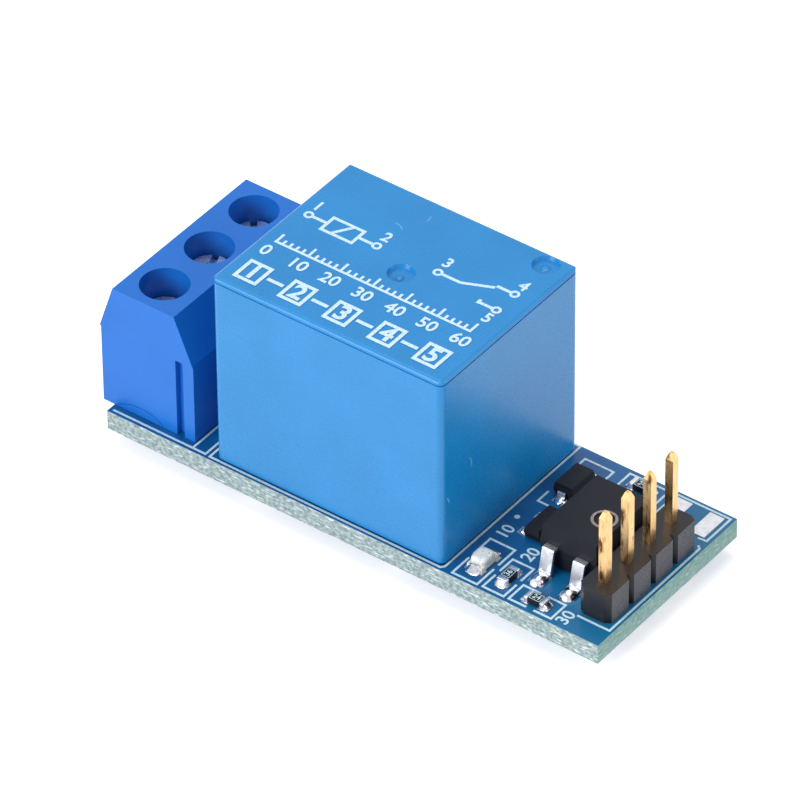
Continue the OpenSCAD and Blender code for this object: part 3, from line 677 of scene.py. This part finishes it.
def framed(mid, left, right, front, back, gap=0.5):
    """Two brackets that frame a part; the gap lies in the middle of the long sides."""
    x0, x1, y0, y1 = mid[0] - left, mid[0] + right, mid[1] - front, mid[1] + back
    if y1 - y0 > x1 - x0:
        cut = ((y0 + y1) / 2 - gap / 2, (y0 + y1) / 2 + gap / 2)
        return [[(x0, cut[0]), (x0, y0), (x1, y0), (x1, cut[0])],
                [(x0, cut[1]), (x0, y1), (x1, y1), (x1, cut[1])]]
    cut = ((x0 + x1) / 2 - gap / 2, (x0 + x1) / 2 + gap / 2)
    return [[(cut[0], y0), (x0, y0), (x0, y1), (cut[0], y1)],
            [(cut[1], y0), (x1, y0), (x1, y1), (cut[1], y1)]]


led_mid = middle("led_base") / MM
led_res_mid = middle("led_resistor") / MM
in_res_mid = middle("input_resistor") / MM
base_res_mid = middle("base_resistor") / MM
diode_mid = middle("flyback_diode") / MM
strokes = [
    [(relay_a[0] - 0.5, relay_b[1] + 0.25), (relay_a[0] - 0.5, relay_a[1] - 0.08),
     (relay_b[0] - 0.15, relay_a[1] - 0.08), (relay_b[0] + 0.065, relay_a[1] + 0.15),
     (relay_b[0] + 0.065, relay_b[1] + 0.25), (relay_a[0] - 0.5, relay_b[1] + 0.25)],
    [(board_low[0] / MM + 0.3, relay_a[1] - 0.03), (term_b[0] + 1.3, relay_a[1] - 0.03),
     (term_b[0] + 1.3, relay_b[1] + 0.1), (board_low[0] / MM + 0.3, relay_b[1] + 0.1)],
    [(term_b[0] + 0.19, relay_a[1]), (term_b[0] + 0.19, relay_b[1])],
    [(head_a[0] + 0.2, head_a[1] - 0.4), (head_b[0] + 0.32, head_a[1] - 0.4),
     (head_b[0] + 0.32, head_b[1] - 0.15), (head_b[0] + 0.05, head_b[1] + 0.12)],
    [(head_b[0] - 0.45, head_b[1] + 0.75), (head_b[0] + 0.25, head_b[1] + 0.8),
     (head_b[0] + 0.25, relay_b[1] + 0.05), (head_b[0] - 4.25, relay_b[1] + 0.05),
     (head_b[0] - 4.25, head_b[1] + 0.8), (head_b[0] - 3.6, head_b[1] + 0.8)]]
strokes += framed(led_mid, 1.065, 1.005, 2.05, 2.3)
strokes += framed(led_res_mid, 0.915, 0.835, 1.7, 1.75)
strokes += framed(in_res_mid, 1.765, 1.735, 0.77, 0.93, 0.6)
strokes += framed(base_res_mid, 1.615, 1.635, 0.8, 0.9, 0.6)
strokes += framed(diode_mid, 1.215, 1.185, 2.55, 2.95, 3.0)
printed = [bar(s, STROKE, INK_THICK, top_mm) for s in strokes]
LABEL_TALL = 0.95
labels = [("10", (led_mid[0] - 0.66, led_mid[1] + 3.5)),
          ("20", (led_res_mid[0] - 0.2, led_res_mid[1] + 2.85)),
          ("30", (in_res_mid[0] + 2.5, in_res_mid[1] - 0.1))]
printed += [numeral(text, LABEL_TALL, at, top_mm, turn=90, bold=0.02) for text, at in labels]
first_pin_dot = circle_points((relay_b[0] + 0.95, -0.54), 0.1, 12)
printed.append(bar(first_pin_dot, 0.2, INK_THICK, top_mm, True))
build("board_print", printed, white_ink, stagger=STAGGER)

# %% [markdown]
# ## Print on the relay
# A relay carries pad printing: soft silicone picks up ink from an etched plate and sets it down
# on the plastic, so the strokes are slightly soft and thin. Here the print is a generic contact
# diagram: a coil, a changeover contact, a scale with ticks, and a row of plain pin numbers. The
# diagram is drawn in mm from the middle of the relay's top.

# %% Print on the relay
relay_top = relay_b[2]
cx, cy = relay_mid[0] / MM, relay_mid[1] / MM
LINE = 0.24


def drawn(points, width=LINE, closed=False):
    """One stroke on the relay's top, in mm from its middle."""
    return bar([(cx + x, cy + y) for x, y in points], width, INK_THICK, relay_top, closed)


def figures(text, tall, x, y, bold=0.03):
    """Plain figures on the relay's top, in mm from its middle."""
    return numeral(text, tall, (cx + x, cy + y), relay_top, bold=bold)


def dot(x, y, radius=0.28):
    """Small ring, the sign for a contact."""
    return bar(circle_points((cx + x, cy + y), radius, 20), LINE * 0.8, INK_THICK, relay_top, True)


def coil_sign(x, y):
    """Rectangle with a slanted stroke and a lead on each side."""
    box = [(x - 1.3, y - 0.75), (x + 1.3, y - 0.75), (x + 1.3, y + 0.75), (x - 1.3, y + 0.75)]
    return [drawn(box, closed=True), drawn([(x - 0.5, y - 0.75), (x + 0.5, y + 0.75)]),
            drawn([(x - 2.6, y), (x - 1.3, y)]), drawn([(x + 1.3, y), (x + 2.6, y)]),
            dot(x - 2.88, y), dot(x + 2.88, y)]


def contact_sign(x, y):
    """Changeover contact: an arm from the common point to the upper of two fixed points."""
    return [drawn([(x - 2.5, y), (x - 0.9, y)]), dot(x - 2.78, y), drawn([(x - 0.9, y), (x + 1.3, y + 0.95)]),
            drawn([(x + 1.3, y + 1.15), (x + 2.5, y + 1.15)]), dot(x + 2.78, y + 1.15),
            drawn([(x + 1.3, y - 0.95), (x + 2.5, y - 0.95)]), dot(x + 2.78, y - 0.95),
            drawn([(x + 1.3, y - 0.65), (x + 1.3, y - 1.1)])]


marks = coil_sign(-5.5, 1.45) + contact_sign(5.2, 1.6)
marks += [figures("1", 0.95, -8.4, 2.55), figures("2", 0.95, -2.6, 2.55), figures("3", 0.95, 2.4, 2.75),
          figures("4", 0.95, 8.0, 3.75), figures("5", 0.95, 8.0, -0.4)]
ticks = np.linspace(-8.4, 7.9, 31)
marks += [drawn([(x, -2.2), (x, -1.25 if i % 5 == 0 else -1.7)], 0.2) for i, x in enumerate(ticks)]
marks += [drawn([(ticks[0] - 0.1, -2.2), (ticks[-1] + 0.1, -2.2)], 0.2)]
marks += [figures(str(i * 10), 1.05, x, -3.35) for i, x in enumerate(ticks[::5])]
for i, x in enumerate(np.linspace(-7.6, 7.4, 5)):
    marks.append(figures(str(i + 1), 1.45, x, -5.75, 0.06))
    ring = [(x - 0.85, -6.7), (x + 0.85, -6.7), (x + 0.85, -4.8), (x - 0.85, -4.8)]
    marks.append(drawn(ring, 0.28, closed=True))
    if i < 4:
        marks.append(drawn([(x + 1.2, -5.75), (x + 2.55, -5.75)], 0.3))
build("relay_print", marks, pad_ink, stagger=STAGGER)

# %% [markdown]
# ## Solder and chip ends
# Melted solder wets the pad and the metal end of a part, and surface tension pulls it into a
# hollow slope that is highest against the part and thins out on the pad. That slope is a grid:
# one parameter runs outwards from the part, the other across it. The plated ends of a chip
# resistor are rounded blocks, made as a superellipsoid, a ball whose powers make it boxy.

# %% Solder slopes and plated ends
pad_mm = corners("solder_pads")[1][2] / MM
SLOPE_LONG = 0.4
END_LONG = 0.3
END_PROUD = 0.02


def wetting(at, away, deep, across, tall, bulge=0.0, rows=12, columns=17):
    """Solder slope. u runs 0..1 outwards and v -1..1 across; the height is
    tall * (1 - u) ** 1.7 * (1 - |v| ** 5) plus bulge * sin(pi u) * (1 - v * v), and the width narrows to 0.8."""
    u, v = np.meshgrid(np.linspace(0, 1, rows), np.linspace(-1, 1, columns), indexing="ij")
    high = tall * (1 - u) ** 1.7 * (1 - np.abs(v) ** 5) + bulge * np.sin(math.pi * u) * (1 - v * v)
    out = u * deep * (1 - 0.12 * v * v)
    side = v * across / 2 * (1 - 0.2 * u * u)
    away = np.array(away, float)
    x = at[0] + out * away[0] - side * away[1]
    y = at[1] + out * away[1] + side * away[0]
    top = np.stack([x, y, pad_mm + 0.005 + high], 2).reshape(-1, 3)
    bottom = top.copy()
    bottom[:, 2] = pad_mm - 0.03
    faces = grid_faces(rows, columns)
    n = rows * columns
    rim = np.concatenate([np.arange(columns), np.arange(1, rows) * columns + columns - 1,
                          (rows - 1) * columns + np.arange(columns - 2, -1, -1),
                          np.arange(rows - 2, 0, -1) * columns])
    nxt = np.roll(rim, -1)
    wall = np.stack([rim, nxt, nxt + n, rim + n], 1)
    return np.concatenate([top, bottom]), np.concatenate([faces, faces[:, ::-1] + n, wall])


def boxy(mid, half, power=0.3, rows=13, columns=24):
    """Superellipsoid: cosines and sines of latitude and longitude raised to a small power, with sign."""
    lat, lon = np.meshgrid(np.linspace(-math.pi / 2, math.pi / 2, rows),
                           np.arange(columns) * 2 * math.pi / columns, indexing="ij")

    def soft(t):
        return np.sign(t) * np.abs(t) ** power

    shape = np.stack([soft(np.cos(lat)) * soft(np.cos(lon)), soft(np.cos(lat)) * soft(np.sin(lon)),
                      soft(np.sin(lat))], 2)
    return (shape * half + mid).reshape(-1, 3), grid_faces(rows, columns, True)


def chip_parts(name):
    """Solder slopes and plated ends of one chip, found from its box."""
    low, high = (c / MM for c in corners(name))
    mid, size = (low + high) / 2, high - low
    along = np.array([1.0, 0.0]) if size[0] > size[1] else np.array([0.0, 1.0])
    length, wide = max(size[0], size[1]), min(size[0], size[1])
    slopes, ends = [], []
    for way in (-1, 1):
        face = mid[:2] + along * way * (length / 2 - END_PROUD)
        slopes.append(wetting(face, along * way, SLOPE_LONG, wide + 0.15, size[2] * 0.8, 0.05))
        block = mid[:2] + along * way * (length - END_LONG) / 2
        flat_half = along * (END_LONG / 2 + END_PROUD) + (1 - along) * (wide / 2 + END_PROUD)
        half = np.array([*flat_half, (size[2] + END_PROUD) / 2])
        ends.append(boxy(np.array([*block, mid[2]]), half, 0.22))
    return slopes, ends


slopes, ends = [], []
for name in ("input_resistor", "led_resistor", "base_resistor"):
    more_slopes, more_ends = chip_parts(name)
    slopes += more_slopes
    ends += more_ends
led_a, led_b = (c / MM for c in corners("led_base"))
for way in (-1, 1):
    at = (led_mid[0], led_b[1] - 0.1 if way > 0 else led_a[1] + 0.1)
    slopes.append(wetting(at, (0, way), 0.62, 1.2, 0.42, 0.08))
chip_solder = build("chip_solder", slopes, solder, smooth=True)
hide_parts("pad_solder")
build("chip_ends", ends, tin, smooth=True)

# %% [markdown]
# The optocoupler's four leads stand in round blobs, and the small leads in smaller ones. A blob is
# a dome: it falls off from the middle by a power of one minus the square of the distance, and its
# outline is a soft oval.

# %% Solder at the gull-wing leads


def blob(mid, half_x, half_y, tall, rows=9, columns=28):
    """Dome of height tall * (1 - r * r) ** 0.8 over an oval whose outline is squared to the power 0.8."""
    r, t = np.meshgrid(np.linspace(0, 1, rows), np.arange(columns) * 2 * math.pi / columns, indexing="ij")
    c, s = np.cos(t), np.sin(t)
    x = mid[0] + half_x * r * np.sign(c) * np.abs(c) ** 0.8
    y = mid[1] + half_y * r * np.sign(s) * np.abs(s) ** 0.8
    z = pad_mm - 0.02 + tall * (1 - r * r) ** 0.8
    dome = np.stack([x, y, z], 2).reshape(-1, 3)
    rim = np.arange(columns) + (rows - 1) * columns
    floor_ring = dome[rim] - [0, 0, 0.02]
    faces = np.concatenate([grid_faces(rows, columns, True),
                            np.stack([rim, np.roll(rim, -1), np.roll(np.arange(columns), -1) + rows * columns,
                                      np.arange(columns) + rows * columns], 1)])
    return np.concatenate([dome, floor_ring]), faces


lead_low, lead_high = (c / MM for c in corners("opto_leads"))
LEAD_WIDE = 0.95
TOE_IN = 0.3
BLOB_X, BLOB_Y, BLOB_TALL = 0.66, 0.78, 0.5
SMALL_BLOB_TALL = 0.24
blobs = []
for x in (lead_low[0] + LEAD_WIDE / 2, lead_high[0] - LEAD_WIDE / 2):
    for y, way in ((lead_low[1], -1), (lead_high[1], 1)):
        blobs.append(blob((x, y - way * TOE_IN), BLOB_X, BLOB_Y, BLOB_TALL))
for name, half in (("transistor_leads", 0.3), ("diode_leads", 0.45)):
    low, high = (c / MM for c in corners(name))
    if name == "diode_leads":
        spots = [((low[0] + high[0]) / 2, low[1] + 0.2), ((low[0] + high[0]) / 2, high[1] - 0.2)]
    else:
        spots = [(low[0] + 0.2, low[1] + 0.21), (low[0] + 0.2, high[1] - 0.21),
                 (high[0] - 0.2, (low[1] + high[1]) / 2)]
    blobs += [blob(spot, half, half, SMALL_BLOB_TALL) for spot in spots]
build("lead_blobs", blobs, solder, smooth=True)

# %% [markdown]
# ## Light emitting diode
# The lens is cast epoxy: a low rounded block, milky and never quite even. It takes the place of
# the plain CAD block. It is a superellipsoid whose middle lies on the white carrier, so only its
# upper half shows. The chip resistors get plain numbers and a fine white frame.

# %% Lens and chip numbers
lens_low, lens_high = (c / MM for c in corners("led_lens"))
lens_mid = (lens_low + lens_high) / 2
lens_half = np.array([(lens_high[0] - lens_low[0]) / 2, (lens_high[1] - lens_low[1]) / 2 + 0.05,
                      lens_high[2] - lens_low[2] + 0.02])
lens = build("diode_lens", [boxy(np.array([*lens_mid[:2], lens_low[2]]), lens_half, 0.42, 21, 40)],
             led_epoxy, smooth=True)
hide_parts("led_lens")

chip_marks = []
for name, text, turn in (("input_resistor", "24", 0), ("led_resistor", "36", 90), ("base_resistor", "24", 0)):
    mid, top = middle(name) / MM, corners(name)[1][2] / MM
    chip_marks.append(numeral(text, 0.42, mid[:2], top, 0.01, turn, 0.01))
    x, y = (0.42, 0.32) if turn == 0 else (0.32, 0.42)
    chip_marks.append(bar([(mid[0] - x, mid[1] - y), (mid[0] + x, mid[1] - y), (mid[0] + x, mid[1] + y),
                           (mid[0] - x, mid[1] + y)], 0.04, 0.01, top, True))
build("chip_print", chip_marks, white_ink)

# %% [markdown]
# ## Mould marks and scuffs
# The optocoupler has a worn, pale ring round its mould mark. Each of the relay's two dimples holds
# the stub of a gate through which the plastic was shot. A few hair-fine scuffs on the relay come
# from other parts in the bag. They are thin bars along a gentle arc.

# %% Ring, gate stubs and scuffs
ring_ink = ink("worn_mould_ring", "#8f877f", "#5b5650", 0.7)
opto_mid = middle("optocoupler") / MM
opto_top = corners("optocoupler")[1][2] / MM
ring_points = circle_points((opto_mid[0] + 0.95, opto_mid[1] - 0.4), 0.84, 40)
build("mould_ring", [bar(ring_points, 0.2, 0.015, opto_top, True)], ring_ink)


def stub(mid, radius, tall, base):
    """Small dome of height tall * (1 - r * r), standing on base."""
    made, faces = blob(mid, radius, radius, tall, 7, 20)
    made[:, 2] += base - pad_mm + 0.02
    return made, faces


DIMPLE_DEEP = 0.3
stubs = [stub((cx + 0.5, cy - 0.15), 0.3, 0.16, relay_top - DIMPLE_DEEP),
         stub((cx + 7.8, cy + 6.5), 0.35, 0.1, relay_top - DIMPLE_DEEP)]
build("gate_stubs", stubs, relay_blue, smooth=True)


def scuff(start, end, sag, place, width=0.05):
    """Arc from start to end with its middle pushed aside by sag; place turns (a, b) into a point in mm."""
    t = np.linspace(0, 1, 9)
    a = start[0] + (end[0] - start[0]) * t
    b = start[1] + (end[1] - start[1]) * t
    across = np.array([start[1] - end[1], end[0] - start[0]]) / math.dist(start, end)
    lift = sag * 4 * t * (1 - t)
    points, faces = bar(np.stack([a + across[0] * lift, b + across[1] * lift], 1), width, 0.008, 0)
    return place(points), faces


def on_right(p):
    """Points drawn in (y, z) laid on the relay's +X face."""
    return np.stack([relay_b[0] + p[:, 2], p[:, 0], p[:, 1]], 1)


def on_top(p):
    """Points drawn in (x, y) from the middle laid on the relay's top."""
    return np.stack([cx + p[:, 0], cy + p[:, 1], relay_top + p[:, 2]], 1)


scuffs = [scuff((-4.7, 10.6), (-4.5, 9.6), 0.15, on_right),
          scuff((-7.2, 8.7), (-7.0, 8.2), 0.04, on_right, 0.08),
          scuff((-3.1, 4.2), (-2.3, 3.9), 0.1, on_top),
          scuff((-1.6, 6.2), (-1.5, 5.6), 0.05, on_top)]
scuff_paint = ink("scuffed_plastic", "#7fb4e6", "#4f9bdf", 0.6)
build("relay_scuffs", scuffs, scuff_paint)

# %% [markdown]
# Across the terminal's end face, just under the step where the upper part stands proud, a fine
# dark line is painted shadow of that step. Lower down, an ejector leaves a faint arc. Both are
# hair-fine bars laid on that face.

# %% Painted step shadow and arc on the terminal
STEP_SHADOW_HIGH = 6.66  # above the board
END_STEP = 0.1  # the end face lies this far inside the housing's box
term_a = term_low / MM
term_mid = (term_a + term_b) / 2


def on_end(p):
    """Points drawn in (x, z above the board) laid on the terminal's lower end face."""
    return np.stack([p[:, 0], term_a[1] + END_STEP - p[:, 2], top_mm + p[:, 1]], 1)


# A dark line just under the step: painted shadow of the upper part that stands proud.
step_shadow_line = [(term_a[0] + 0.01, STEP_SHADOW_HIGH), (term_b[0] - 0.01, STEP_SHADOW_HIGH)]
step_shadow_points, step_shadow_faces = bar(step_shadow_line, 0.07, 0.012, 0)
arc_turn = np.radians(np.linspace(38, 142, 24))
arc_line = np.stack([term_mid[0] - 0.75 + 2.5 * np.cos(arc_turn), -0.85 + 1.6 * np.sin(arc_turn)], 1)
arc_points, arc_faces = bar(arc_line, 0.05, 0.01, 0)
# This dark blue is painted shadow for the line under the step; the ejector arc takes the same paint.
step_shadow_and_arc_paint = ink("painted_step_shadow_and_arc_on_polyamide", "#0b3f8c", "#0e4a9c", 0.7)
end_marks = [(on_end(step_shadow_points), step_shadow_faces), (on_end(arc_points), arc_faces)]
build("terminal_step_shadow_and_arc", end_marks, step_shadow_and_arc_paint)

# %% [markdown]
# ## Check and finish
# The box of the dressed part is written beside the CAD box, to see that nothing grew past it.

# %% Boxes and finish
low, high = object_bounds()
print("dressed box in mm:", [round(s / MM, 2) for s in high - low])
